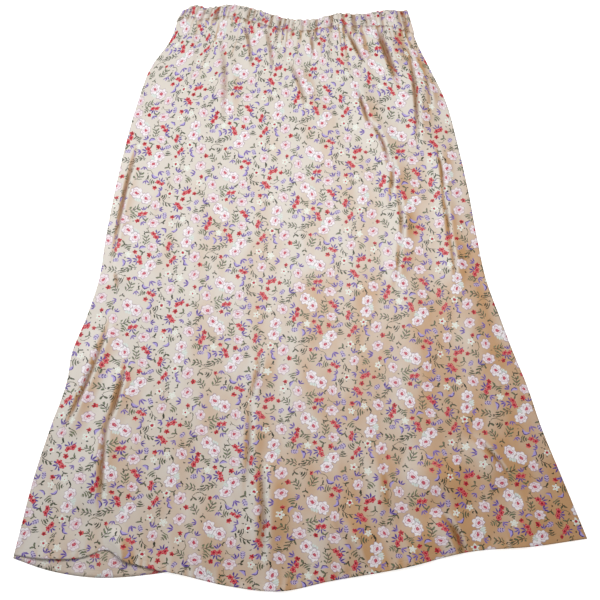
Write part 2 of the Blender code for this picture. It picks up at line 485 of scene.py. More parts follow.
class Vec:
    """A vector on a surface: wraps a socket, so that sums of it add Vector Math nodes."""

    def __init__(self, graph: "Graph", socket: bpy.types.NodeSocket) -> None:
        """Keep the graph and the socket that the vector comes from."""
        self.graph = graph
        self.socket = socket

    def __add__(self, other: Any) -> "Vec":
        """Add."""
        return self.graph.vector("ADD", self, other)

    def __sub__(self, other: Any) -> "Vec":
        """Subtract."""
        return self.graph.vector("SUBTRACT", self, other)

    def __mul__(self, other: Any) -> "Vec":
        """Multiply axis by axis, or all axes by one number."""
        if isinstance(other, float):
            other = (other, other, other)
        return self.graph.vector("MULTIPLY", self, other)

    def parts(self) -> tuple[Num, Num, Num]:
        """Return the x, y and z numbers."""
        made = self.graph.node("ShaderNodeSeparateXYZ", sockets={0: self})
        return tuple(Num(self.graph, made.outputs[axis]) for axis in range(3))

    def length(self) -> Num:
        """Return the length."""
        made = self.graph.node("ShaderNodeVectorMath", {"operation": "LENGTH"}, {0: self})
        return Num(self.graph, made.outputs["Value"])


class Graph:
    """One material's nodes, made by expressions and by `node`."""

    def __init__(self, material: bpy.types.Material) -> None:
        """Turn the material's nodes on and keep its shader."""
        material.use_nodes = True
        self.tree = material.node_tree
        self.shader = self.tree.nodes["Principled BSDF"]

    def node(
        self,
        kind: str,
        settings: dict[str, Any] | None = None,
        sockets: dict[int | str, Any] | None = None,
    ) -> bpy.types.Node:
        """Make any node.

        Args:
            kind: the node's type.
            settings: its properties, set first; `stops` holds a ramp's stops, each a
                position and a colour.
            sockets: a value, number, vector or socket for each of its inputs.

        Returns:
            The node.
        """
        made = self.tree.nodes.new(kind)
        for name, value in (settings or {}).items():
            if name == "stops":
                self._stops(made.color_ramp, value)
            else:
                setattr(made, name, value)
        for key, value in (sockets or {}).items():
            if isinstance(value, (Num, Vec)):
                value = value.socket
            if isinstance(value, bpy.types.NodeSocket):
                self.tree.links.new(value, made.inputs[key])
            else:
                made.inputs[key].default_value = value
        return made

    @staticmethod
    def _stops(ramp: bpy.types.ColorRamp, stops: list[tuple[float, Row]]) -> None:
        """Give a ramp its stops, held flat from each to the next."""
        ramp.interpolation = "CONSTANT"
        while len(ramp.elements) < len(stops):
            ramp.elements.new(1.0)
        for element, (position, _) in zip(ramp.elements, stops):
            element.position = position
        for element, (_, colour) in zip(ramp.elements, stops):
            element.color = colour

    def math(self, operation: str, *terms: Any, clamp: bool = False) -> Num:
        """Make a Math node.

        Args:
            operation: its operation.
            terms: its inputs, numbers or plain values.
            clamp: keep the result between 0 and 1.

        Returns:
            Its result.
        """
        made = self.node(
            "ShaderNodeMath",
            {"operation": operation, "use_clamp": clamp},
            dict(enumerate(terms)),
        )
        return Num(self, made.outputs[0])

    def vector(self, operation: str, *terms: Any) -> Vec:
        """Make a Vector Math node whose result is a vector."""
        made = self.node(
            "ShaderNodeVectorMath", {"operation": operation}, dict(enumerate(terms))
        )
        return Vec(self, made.outputs["Vector"])

    def join(self, x: Any, y: Any) -> Vec:
        """Return the vector (x, y, 0)."""
        made = self.node("ShaderNodeCombineXYZ", sockets={0: x, 1: y})
        return Vec(self, made.outputs[0])

    def blend(self, under: Any, over: Any, share: Any) -> bpy.types.NodeSocket:
        """Lay a colour over another by a share, and return the mixed colour."""
        made = self.node("ShaderNodeMix", {"data_type": "RGBA"}, {0: share, 6: under, 7: over})
        return made.outputs[2]

    def noise(self, where: Any, scale: float, detail: float) -> Num:
        """Return a smooth noise from about 0 to 1."""
        made = self.node(
            "ShaderNodeTexNoise",
            {"noise_dimensions": "3D"},
            {"Vector": where, "Scale": scale, "Detail": detail},
        )
        return Num(self, made.outputs["Fac"])

    def attribute(self, name: str) -> Num:
        """Return a number that the mesh carries at its points."""
        made = self.node("ShaderNodeAttribute", {"attribute_name": name})
        return Num(self, made.outputs["Fac"])


# ---------------------------------------------------------------- the flower print

Colour = tuple[float, float, float, float]
Paint = list[tuple[Num, Colour]]
Chart = list[tuple[float, Colour]]


class Flower(Enum):
    """The motifs of the print, from the lowest layer to the top one."""

    STEM = "stem"
    BRANCH = "branch"
    PLUME = "plume"
    LEAVES = "leaves"
    LAVENDER = "lavender"
    BUTTERFLY = "butterfly"
    FAN = "fan"
    WHITE = "white"
    PAIR = "pair"
    ROSE = "rose"
    CLUSTER = "cluster"
    RED = "red"
    SEED = "seed"


class Sowing(NamedTuple):
    """How a motif is sown: its grid, how many, its reach in mm, its sizes, its place.

    The grid of cells is moved by `shift`, shares of a cell. `gap` is the distance in mm
    that the motif keeps from its nearest neighbour where it has the choice.
    """

    flower: Flower
    columns: int
    rows: int
    shift: tuple[float, float]
    count: int
    reach: float
    small: float
    large: float
    gap: float


SOWINGS: list[Sowing] = [
    Sowing(Flower.PAIR, 2, 3, (0.1, 0.3), 4, 14.6, 1.22, 1.36, 30.0),
    Sowing(Flower.ROSE, 4, 4, (0.4, 0.1), 9, 7.8, 1.10, 1.38, 30.0),
    Sowing(Flower.CLUSTER, 3, 4, (0.7, 0.6), 9, 7.0, 1.10, 1.35, 30.0),
    Sowing(Flower.WHITE, 3, 4, (0.2, 0.8), 8, 6.2, 0.95, 1.20, 30.0),
    Sowing(Flower.BUTTERFLY, 2, 3, (0.6, 0.5), 5, 5.6, 1.00, 1.20, 30.0),
    Sowing(Flower.BRANCH, 3, 4, (0.9, 0.4), 11, 7.4, 0.95, 1.25, 30.0),
    Sowing(Flower.LAVENDER, 3, 4, (0.5, 0.2), 8, 5.0, 1.00, 1.25, 1.0),
    Sowing(Flower.RED, 4, 5, (0.3, 0.7), 12, 3.4, 0.95, 1.30, 0.2),
    Sowing(Flower.FAN, 5, 6, (0.8, 0.2), 24, 4.4, 0.95, 1.30, 30.0),
    Sowing(Flower.PLUME, 4, 5, (0.1, 0.9), 14, 4.4, 1.00, 1.25, 30.0),
    Sowing(Flower.LEAVES, 5, 6, (0.6, 0.1), 28, 3.6, 1.00, 1.35, 30.0),
    Sowing(Flower.SEED, 5, 6, (0.2, 0.5), 28, 1.4, 0.85, 1.40, 30.0),
    Sowing(Flower.STEM, 3, 3, (0.7, 0.4), 8, 8.0, 0.90, 1.20, 0.0),
]


def rgb(red: float, green: float, blue: float) -> Colour:
    """Return an opaque colour from screen values of 0 to 255."""
    screen = (red / 255.0, green / 255.0, blue / 255.0)
    return (*(c / 12.92 if c <= 0.04045 else ((c + 0.055) / 1.055) ** 2.4 for c in screen), 1.0)


LEAF_GREEN = rgb(18, 24, 6)


@dataclass(frozen=True)
class FlowerPrint:
    """A ditsy print: a tile of motifs, repeated along and across the cloth.

    Each kind of motif is sown in its own grid of cells over the tile, at most one to a
    cell and wholly inside it, so that a point of the cloth has to look at one cell.
    Each column of tiles lies `drop` higher than the one on its left. Lengths are in
    millimetres.

    Each motif takes the best of `tries` places, no nearer to its cell's sides than it
    reaches, and never nearer to the middle than `most_margin` leaves. A place that
    crowds a neighbour counts as `crowding` times as bad as one as far too open. The
    outlines `wobble` with a noise of scale `wobble_scale`, `wobble_gain` making up for
    its small range. `largest` is the size that a chart's alpha of 1 means, `smallest`
    the size in an empty cell, and `tiles_away` keeps the coordinates above zero.

    Each motif has a method that draws it at size 1 round its own middle. Plain numbers
    there are millimetres, radians or shares, and `turn` sets one motif apart from the
    next. Every method returns its strokes, from the lowest: a share and an ink.
    """

    width: float = 140.0
    height: float = 184.0
    drop: float = 36.0
    seed: int = 211
    tries: int = 120
    most_margin: float = 0.45
    crowding: float = 3.0
    wobble: float = 0.8
    wobble_scale: float = 230.0
    wobble_gain: float = 3.0
    largest: float = 2.0
    smallest: float = 0.01
    tiles_away: float = 10.0

    def sow(self) -> dict[Flower, Chart]:
        """Place every motif of the tile, each the wanted gap from its neighbours.

        Returns:
            For each kind, a ramp's stops: one for each cell, whose colour holds the
            place in the cell, the turn and, as alpha, the size, 0 for an empty cell.
        """
        draw = np.random.default_rng(self.seed)
        tile = np.array([self.width, self.height])
        taken = np.zeros((0, 3))
        charts = {}
        for sowing in SOWINGS:
            cell = tile / (sowing.columns, sowing.rows)
            total = sowing.columns * sowing.rows
            chosen = draw.permutation(total)[: sowing.count].tolist()
            stops = []
            for index in range(total):
                if index not in chosen:
                    stops.append((index / total, (0.5, 0.5, 0.0, 0.0)))
                    continue
                size = draw.uniform(sowing.small, sowing.large)
                reach = sowing.reach * size
                margin = np.minimum((reach + self.wobble) / cell, self.most_margin)
                places = draw.uniform(margin, 1.0 - margin, (self.tries, 2))
                corner = np.array([index % sowing.columns, index // sowing.columns])
                centres = (corner + places - sowing.shift) * cell
                room = self._room(centres, reach, taken) - sowing.gap
                best = int(np.argmin(np.where(room < 0.0, -self.crowding * room, room)))
                if sowing.flower is not Flower.STEM:
                    taken = np.vstack([taken, [*centres[best], reach]])
                spot = places[best]
                turn = (chosen.index(index) + draw.uniform()) / sowing.count
                colour = (float(spot[0]), float(spot[1]), turn, size / self.largest)
                stops.append((index / total, colour))
            charts[sowing.flower] = stops
        return charts

    def _room(self, centres: np.ndarray, reach: float, taken: np.ndarray) -> np.ndarray:
        """Return each place's gap to its nearest neighbour, over the repeats too."""
        if len(taken) == 0:
            return np.zeros(len(centres))
        apart = centres[:, None, :] - taken[None, :, :2]
        tiles = np.round(apart[..., 0] / self.width)
        aside = apart[..., 0] - tiles * self.width
        along = apart[..., 1] - tiles * self.drop
        along = along - np.round(along / self.height) * self.height
        return (np.hypot(aside, along) - taken[:, 2] - reach).min(axis=1)

    def paint(self, graph: Graph, cloth: Vec, ground: Any) -> bpy.types.NodeSocket:
        """Draw the print over the ground colour.

        Args:
            graph: the material's nodes.
            cloth: the cloth's own coordinates, in metres.
            ground: the colour of the bare cloth.

        Returns:
            The printed colour.
        """
        drift = graph.node(
            "ShaderNodeTexNoise",
            {"noise_dimensions": "2D"},
            {"Vector": cloth, "Scale": self.wobble_scale, "Detail": 1.0},
        )
        wander = Vec(graph, drift.outputs["Color"]) - (0.5, 0.5, 0.5)
        spot = cloth * (1.0 / MM, 1.0 / MM, 0.0) + wander * (self.wobble * self.wobble_gain)
        spot = spot + (self.width * self.tiles_away, self.height * self.tiles_away, 0.0)
        charts = self.sow()
        brushes = {
            Flower.STEM: self._stem,
            Flower.BRANCH: self._branch,
            Flower.PLUME: self._plume,
            Flower.LEAVES: self._leaves,
            Flower.LAVENDER: self._lavender,
            Flower.BUTTERFLY: self._butterfly,
            Flower.FAN: self._fan,
            Flower.WHITE: self._white,
            Flower.PAIR: self._pair,
            Flower.ROSE: self._rose,
            Flower.CLUSTER: self._cluster,
            Flower.RED: self._red,
            Flower.SEED: self._seed,
        }
        by_flower = {sowing.flower: sowing for sowing in SOWINGS}
        colour = ground
        for flower in Flower:
            local, turn = self._find(graph, spot, by_flower[flower], charts[flower])
            x, y, _ = local.parts()
            for mask, ink in brushes[flower](graph, x, y, turn):
                colour = graph.blend(colour, ink, mask)
        return colour

    def _find(
        self, graph: Graph, spot: Vec, sowing: Sowing, stops: Chart
    ) -> tuple[Vec, Num]:
        """Find the motif of the point's cell.

        In an empty cell the point is sent far away, so that nothing is drawn there.

        Args:
            graph: the material's nodes.
            spot: the point, in millimetres.
            sowing: the motif's grid.
            stops: the motif's chart.

        Returns:
            The point in the motif's own frame in mm, and its turn from 0 to 1.
        """
        cell = (self.width / sowing.columns, self.height / sowing.rows, 1.0)
        each = (1.0 / cell[0], 1.0 / cell[1], 0.0)
        scaled = graph.vector("MULTIPLY_ADD", spot, each, (*sowing.shift, 0.0))
        tile = graph.math("FLOOR", scaled.parts()[0] * (1.0 / sowing.columns))
        scaled = scaled - graph.join(0.0, tile * (self.drop / cell[1]))
        corner = graph.vector("FLOOR", scaled)
        number = graph.vector("MODULO", corner, (sowing.columns, sowing.rows, 1.0))
        total = sowing.columns * sowing.rows
        counted = graph.node(
            "ShaderNodeVectorMath",
            {"operation": "DOT_PRODUCT"},
            {0: number, 1: (1.0 / total, sowing.columns / total, 0.0)},
        )
        index = Num(graph, counted.outputs["Value"]) + 0.5 / total
        chart = graph.node("ShaderNodeValToRGB", {"stops": stops}, {0: index})
        centre = Vec(graph, chart.outputs["Color"])
        size = Num(graph, chart.outputs["Alpha"])
        turn = centre.parts()[2]
        offset = (scaled - corner - centre) * cell
        grown = graph.math("MAXIMUM", size * self.largest, self.smallest)
        shrunk = graph.node(
            "ShaderNodeVectorMath", {"operation": "SCALE"}, {0: offset, "Scale": 1.0 / grown}
        )
        turned = graph.node(
            "ShaderNodeVectorRotate",
            {"rotation_type": "Z_AXIS"},
            {"Vector": shrunk.outputs["Vector"], "Angle": turn * TURN},
        )
        return Vec(graph, turned.outputs[0]), turn

    @staticmethod
    def _polar(graph: Graph, x: Num, y: Num) -> tuple[Num, Num]:
        """Return the distance from the middle and the angle round it."""
        return graph.join(x, y).length(), graph.math("ARCTAN2", y, x)

    @staticmethod
    def _oval(graph: Graph, x: Num, y: Num, long: float, wide: float) -> Num:
        """Return 1 on the edge of an oval and less inside it."""
        return graph.join(x * (1.0 / long), y * (1.0 / wide)).length()

    @staticmethod
    def _lobes(graph: Graph, angle: Num, count: int, phase: Any) -> Num:
        """Return a number that rises from 0 to 1 and falls `count` times round."""
        return abs(graph.math("SINE", angle * (count / 2.0) + phase))

    @staticmethod
    def _in_step(graph: Graph, along: Num, step: float, start: float = 0.0) -> Num:
        """Return where in its step a point lies, from -0.5 to 0.5, steps repeating.

        Args:
            graph: the material's nodes.
            along: the way that is cut into steps.
            step: their length.
            start: how far the first step is moved back, a share of a step.
        """
        whole_steps = 10.0
        return graph.math("FRACT", along * (1.0 / step) + (whole_steps + start)) - 0.5

    def _bloom(self, graph: Graph, x: Num, y: Num, phase: Num, tint: Colour) -> Paint:
        """Draw a ruffled rose: two rounds of petals with their outlines and a red heart.

        Args:
            graph: the material's nodes.
            x: across the rose, from its middle.
            y: up the rose, from its middle.
            phase: a number that sets its ruffles apart from another rose's.
            tint: the petals' colour.

        Returns:
            The strokes, from the lowest.
        """
        r, a = self._polar(graph, x, y)
        uneven = self._lobes(graph, a, 1, phase * 2.3) * 0.7 + 0.4
        outer = self._lobes(graph, a, 7, phase) * uneven
        inner = self._lobes(graph, a, 3, phase * 1.7)
        edge = outer * 1.9 + uneven + 5.0
        body = r.below(edge, 0.4)
        ring = inner * 1.6 + 2.9
        rim = abs(edge - r - 0.2).below(0.8, 0.5) * (inner * 0.7 + 0.3)
        line = abs(r - ring).below(0.55, 0.4)
        shade = (outer + r * 0.05).below(0.42, 0.3) * body * (r - 3.0).below(3.5, 3.0)
        brush = self._lobes(graph, a, 12, r * 1.4 + phase).below(0.4, 0.4) * body
        heart, _ = self._polar(graph, x + inner * 0.9, y * 1.35 - 0.3)
        return [
            (body, tint),
            (shade * 0.45, rgb(188, 172, 196)),
            (brush * 0.40, rgb(214, 160, 180)),
            (rim * 0.6, rgb(150, 112, 138)),
            (line * (0.9 - outer * 0.4), rgb(188, 118, 152)),
            (r.below(ring - 0.3, 1.6) * 0.42, rgb(244, 188, 200)),
            (heart.below(outer * 0.7 + 2.0, 0.5), rgb(188, 22, 60)),
            (abs(heart - 0.9).below(0.45, 0.4) * inner * 0.9, rgb(248, 170, 184)),
        ]

    def _pair(self, graph: Graph, x: Num, y: Num, turn: Num) -> Paint:
        """Draw two white roses side by side, ruffled petals filling the gap."""
        phase = graph.math("SIGN", x) * 2.0 + turn * 6.0
        fill = self._oval(graph, x - 1.5, y - 5.0, 6.0, 3.6)
        petals = abs(graph.math("SINE", x * 1.1 + y * 0.5))
        body = fill.below(0.65 + petals * 0.45, 0.12)
        ruffles = [
            (body, rgb(224, 232, 226)),
            (petals.below(0.35, 0.3) * body * 0.6, rgb(160, 176, 160)),
        ]
        bloom = self._bloom(graph, abs(x) - 7.0, y + x * 0.12, phase, rgb(252, 249, 251))
        return ruffles + bloom

    def _rose(self, graph: Graph, x: Num, y: Num, turn: Num) -> Paint:
        """Draw a blush rose on its own."""
        return self._bloom(graph, x, y * 1.15, turn * 12.0, rgb(246, 236, 239))

    def _cluster(self, graph: Graph, x: Num, y: Num, turn: Num) -> Paint:
        """Draw two red blossoms with violet petals below them."""
        r, a = self._polar(graph, abs(x) - 2.7, y - x * 0.35 - 1.0)
        lobes = self._lobes(graph, a, 5, turn * 9.0)
        body = r.below(lobes * 1.2 + 2.4, 0.4)
        light = abs(r - 1.9).below(0.6, 0.4) * lobes * body
        far, angle = self._polar(graph, x, y + 0.4)
        spread = 0.7
        share = self._in_step(graph, angle, spread)
        petal = self._oval(graph, far - 4.4, share * far * spread, 3.2, 1.0)
        below = petal.below(1.0, 0.35) * y.below(-1.2, 0.4)
        return [
            (below, rgb(84, 58, 152)),
            (body, rgb(196, 26, 52)),
            (light, rgb(240, 128, 132)),
            (r.below(1.0, 0.5) * (turn * 0.6 + 0.4), rgb(92, 4, 18)),
        ]

    def _red(self, graph: Graph, x: Num, y: Num, turn: Num) -> Paint:
        """Draw one small red blossom with a light petal and a dark heart."""
        r, a = self._polar(graph, x, y)
        lobes = self._lobes(graph, a, 5, 0.0)
        body = r.below(lobes * 1.3 + 2.1, 0.4)
        light = (x + y).below(-0.6, 1.2) * body * (turn * 0.7 + 0.2)
        return [
            (body, rgb(186, 20, 44)),
            (light, rgb(242, 118, 112)),
            (r.below(1.0, 0.4), rgb(96, 4, 18)),
        ]

    def _fan(self, graph: Graph, x: Num, y: Num, turn: Num) -> Paint:
        """Draw a spray of pointed violet petals that open from one point."""
        r, a = self._polar(graph, x + 3.6, y)
        spread = 0.66
        share = self._in_step(graph, a, spread, 0.5)
        petal = self._oval(graph, r - 4.2, share * r * spread, 3.8, 1.1)
        body = petal.below(1.0, 0.3) * abs(a).below(1.5 * spread, 0.05)
        core = petal.below(0.72, 0.3) * body
        return [(body, rgb(142, 118, 198)), (core * (turn * 0.6 + 0.4), rgb(56, 28, 118))]

    def _lavender(self, graph: Graph, x: Num, y: Num, turn: Num) -> Paint:
        """Draw a bent lavender leaf with a dark edge."""
        bent = y - x * x * 0.10 + 0.9
        leaf = self._oval(graph, x, bent, 5.2, 2.1)
        body = leaf.below(1.0, 0.2)
        edge = abs(leaf - 0.75).below(0.34, 0.15) * bent.below(0.4, 1.0)
        return [(body, rgb(180, 164, 226)), (edge, rgb(58, 32, 122))]

    def _butterfly(self, graph: Graph, x: Num, y: Num, turn: Num) -> Paint:
        """Draw a lavender blossom that is barred with dark strokes."""
        blossom = self._oval(graph, x, y, 5.4, 3.5)
        bars = abs(self._in_step(graph, x - abs(y) * 0.6, 3.0))
        parted = abs(abs(y) - 1.7).below(1.5, 0.5)
        body = blossom.below(1.0, 0.2)
        return [
            (body * 0.7, rgb(198, 184, 234)),
            (bars.below(0.26, 0.12) * parted * body, rgb(56, 32, 124)),
        ]

    def _branch(self, graph: Graph, x: Num, y: Num, turn: Num) -> Paint:
        """Draw a green branch: a bent stem with slanting leaflets on both sides."""
        bent = y - x * x * 0.04
        out = abs(bent)
        step = 4.8
        side = self._in_step(graph, x - out * 0.9, step) * step
        leaflet = self._oval(graph, side, out - 2.7, 1.4, 2.8)
        sides = bent.below(turn * 9.0 - 0.6, 0.5)
        body = leaflet.below(1.0, 0.35) * abs(x - 0.6).below(6.6, 0.5) * sides
        stem = out.below(0.5, 0.2) * abs(x + 0.6).below(7.0, 0.5)
        green = graph.math("MAXIMUM", body, stem)
        light = leaflet.below(0.8, 0.4) * body * (turn * 0.8 + 0.2)
        return [(green, LEAF_GREEN), (light, rgb(126, 142, 104))]

    def _plume(self, graph: Graph, x: Num, y: Num, turn: Num) -> Paint:
        """Draw three leaves that curve one inside the other."""
        r, a = self._polar(graph, x + 5.8, y)
        step = 3.0
        side = self._in_step(graph, r, step, 0.1) * step
        leaf = graph.join(side * 0.85, a * 1.4).length()
        near = abs(r - 6.0).below(4.4, 0.1)
        body = leaf.below(1.0, 0.35) * near
        light = leaf.below(0.8, 0.4) * near * (turn * 0.8 + 0.1)
        return [(body, LEAF_GREEN), (light, rgb(134, 144, 108))]

    def _leaves(self, graph: Graph, x: Num, y: Num, turn: Num) -> Paint:
        """Draw one or two almond leaves on a short stalk."""
        out = abs(x)
        leaf = self._oval(graph, out - 2.0, y - out * 0.7 + 0.6, 2.4, 1.35)
        body = leaf.below(1.0, 0.3) * x.below(turn * 7.0, 0.2)
        stalk = abs(x).below(0.5, 0.2) * abs(y + 1.8).below(1.8, 0.3)
        light = leaf.below(0.75, 0.4) * body * (turn * 0.9)
        return [
            (graph.math("MAXIMUM", body, stalk), LEAF_GREEN),
            (light, rgb(138, 148, 112)),
        ]

    def _white(self, graph: Graph, x: Num, y: Num, turn: Num) -> Paint:
        """Draw a cream blossom of open petals with dark seeds strewn on one side."""
        r, a = self._polar(graph, x, y)
        spread = TURN / 5.0
        share = self._in_step(graph, a, spread)
        petal = self._oval(graph, r - 2.6, share * r * spread, 2.7, 1.7)
        seeds = abs(r - 6.0).below(1.1, 0.4) * abs(share).below(0.13, 0.05)
        return [
            (petal.below(1.0, 0.25), rgb(242, 244, 236)),
            (petal.below(0.45, 0.3) * 0.6, rgb(204, 212, 184)),
            (seeds * x.below(1.5, 0.1), rgb(42, 46, 28)),
            (r.below(turn * 2.4, 0.3), rgb(184, 40, 60)),
        ]

    def _stem(self, graph: Graph, x: Num, y: Num, turn: Num) -> Paint:
        """Draw a thin curved stalk."""
        arc = graph.join(x - 7.0, y).length()
        line = abs(arc - 8.4).below(0.50, 0.3) * abs(y).below(7.0, 0.6)
        return [(line * x.below(2.0, 0.3), rgb(92, 84, 58))]

    def _seed(self, graph: Graph, x: Num, y: Num, turn: Num) -> Paint:
        """Draw a tiny dark comma."""
        comma = self._oval(graph, x, y + x * x * 0.4, 1.6, 0.8)
        return [(comma.below(1.0, 0.4), rgb(48, 46, 30))]


@dataclass(frozen=True)
class PrintedSatin:
    """The skirt's cloth: champagne satin with the print on its face.

    The ground goes from `pale` to `tan` by a plane that rises to the right and towards
    the hem, a painted falloff of the light, with soft drifts and bands, and by how far
    the cloth turns from the window, painted shade where it turns away and painted
    highlight where it faces it. Valleys, gaps between puckers and the band's seam go
    to `deep`, a painted shade. `print_share` is how strongly the print shows, less on
    the cloth's inside. Stitching lies `stitch_height` above the hem. Lengths are in
    metres.
    """

    name: str
    pale: Colour = rgb(226, 218, 208)
    tan: Colour = rgb(206, 160, 114)
    deep: Colour = rgb(134, 84, 24)
    light_falloff_right: float = 1.10
    light_falloff_down: float = 0.95
    light_falloff_start: float = 0.22
    shading_warmth: float = 0.8
    drift_scale: float = 6.0
    band_scale: float = 30.0
    band_stretch: float = 0.4
    band_share: float = 1.2
    print_share: float = 1.0
    shade_gain: float = 1.5
    shade_start: float = -0.25
    shade_most: float = 0.88
    roughness: float = 0.44
    rough_range: float = 0.14
    rough_scale: float = 40.0
    specular: float = 0.4
    sheen: float = 0.12
    sheen_roughness: float = 0.4
    crepe_scale: float = 420.0
    crepe_height: float = 0.06
    rumple_scale: float = 55.0
    rumple_height: float = 0.6
    stitch_height: float = 0.009
    stitch_half: float = 0.0012
    stitch_soft: float = 0.001
    stitch_depth: float = 0.25
    bump_strength: float = 0.35
    bump_distance: float = 0.0012
    flowers: FlowerPrint = FlowerPrint()

    def material(self) -> bpy.types.Material:
        """Make the material.

        Returns:
            A Principled material that reads the cloth's UV map `cloth`, in metres, and
            the mesh's numbers `fold`, how deep in a valley, for painted shade, and
            `painted_shading`, how far turned from the window, for painted shade and, below zero,
            painted highlight, both up to 1, and `edge`, metres from the hem.
        """
        made = bpy.data.materials.new(self.name)
        graph = Graph(made)
        shader = graph.shader
        shader.inputs["Sheen Weight"].default_value = self.sheen
        shader.inputs["Sheen Roughness"].default_value = self.sheen_roughness
        shader.inputs["Specular IOR Level"].default_value = self.specular
        cloth = Vec(graph, graph.node("ShaderNodeUVMap", {"uv_map": "cloth"}).outputs[0])
        here = Vec(graph, graph.node("ShaderNodeTexCoord").outputs["Object"])
        printed = self._printed(graph, cloth, self._ground(graph, here))
        # painted shade: valleys, gaps between puckers and the band's seam darken towards the deep
        # colour
        deep = graph.math(
            "MULTIPLY_ADD", graph.attribute("fold"), self.shade_gain, self.shade_start, clamp=True
        )
        shaded = graph.blend(printed, self.deep, deep * self.shade_most)
        graph.tree.links.new(shaded, shader.inputs["Base Color"])
        least = self.roughness - self.rough_range / 2.0
        rough = graph.noise(here, self.rough_scale, 2.0) * self.rough_range + least
        graph.tree.links.new(rough.socket, shader.inputs["Roughness"])
        graph.tree.links.new(self._relief(graph, cloth), shader.inputs["Normal"])
        return made

    def _ground(self, graph: Graph, here: Vec) -> bpy.types.NodeSocket:
        """Return the colour of the bare cloth at a point of the skirt."""
        # the ground holds a painted falloff of the light, and painted shade and highlight on the
        # slopes
        x, y, _ = here.parts()
        drift = graph.noise(here, self.drift_scale, 2.0) - 0.5
        bands = graph.noise(here * (1.0, self.band_stretch, 1.0), self.band_scale, 2.0) - 0.5
        # painted falloff of the light: warmer and darker towards the lower right
        corner = x * self.light_falloff_right - y * self.light_falloff_down + self.light_falloff_start + drift
        # painted shade on slopes turned from the window, painted highlight on slopes facing it
        corner = corner + graph.attribute("painted_shading") * self.shading_warmth
        warmth = graph.math("MULTIPLY_ADD", bands, self.band_share, corner, clamp=True)
        return graph.blend(self.pale, self.tan, warmth)

    def _printed(
        self, graph: Graph, cloth: Vec, ground: bpy.types.NodeSocket
    ) -> bpy.types.NodeSocket:
        """Return the ground with the print on it, as strong as it shows."""
        printed = self.flowers.paint(graph, cloth, ground)
        if self.print_share < 1.0:
            printed = graph.blend(ground, printed, self.print_share)
        return printed

    def _relief(self, graph: Graph, cloth: Vec) -> bpy.types.NodeSocket:
        """Return the normal of the cloth's crepe, its rumples and the hem's stitching."""
        crepe = graph.noise(cloth, self.crepe_scale, 2.0)
        rumple = graph.noise(cloth, self.rumple_scale, 3.0)
        off_stitch = abs(graph.attribute("edge") - self.stitch_height)
        stitch = off_stitch.below(self.stitch_half, self.stitch_soft)
        relief = crepe * self.crepe_height + rumple * self.rumple_height
        relief = relief - stitch * self.stitch_depth
        bump = {"Strength": self.bump_strength, "Distance": self.bump_distance, "Height": relief}
        return graph.node("ShaderNodeBump", sockets=bump).outputs[0]


# ---------------------------------------------------------------- the sewn pieces


def grid_object(
    name: str, points: np.ndarray, cloth: np.ndarray, numbers: dict[str, np.ndarray], ring: bool
) -> bpy.types.Object:
    """Make an object from a grid of points.

    Args:
        name: the object's name.
        points: rows by columns by 3, rows running down and columns to the right.
        cloth: rows by columns by 2, the cloth's own coordinates in metres.
        numbers: further numbers that the mesh carries, each rows by columns.
        ring: whether the last row joins the first and the last column the first.

    Returns:
        The object, at the origin, its faces turned up.
    """
    rows, columns = points.shape[:2]
    index = np.arange(rows * columns).reshape(rows, columns)
    if ring:
        index = np.vstack([index, index[:1]])
        index = np.hstack([index, index[:, :1]])
    faces = np.stack(
        [index[:-1, :-1], index[1:, :-1], index[1:, 1:], index[:-1, 1:]], axis=-1
    ).reshape(-1, 4)
    mesh = bpy.data.meshes.new(name)
    mesh.from_pydata(points.reshape(-1, 3).tolist(), [], faces.tolist())
    layer = mesh.uv_layers.new(name="cloth")
    corners = faces.reshape(-1)
    layer.data.foreach_set("uv", cloth.reshape(-1, 2)[corners].reshape(-1).astype(np.float32))
    for key, values in numbers.items():
        kept = mesh.attributes.new(key, "FLOAT", "POINT")
        kept.data.foreach_set("value", values.reshape(-1).astype(np.float32))
    mesh.shade_smooth()
    return add_object(name, mesh)


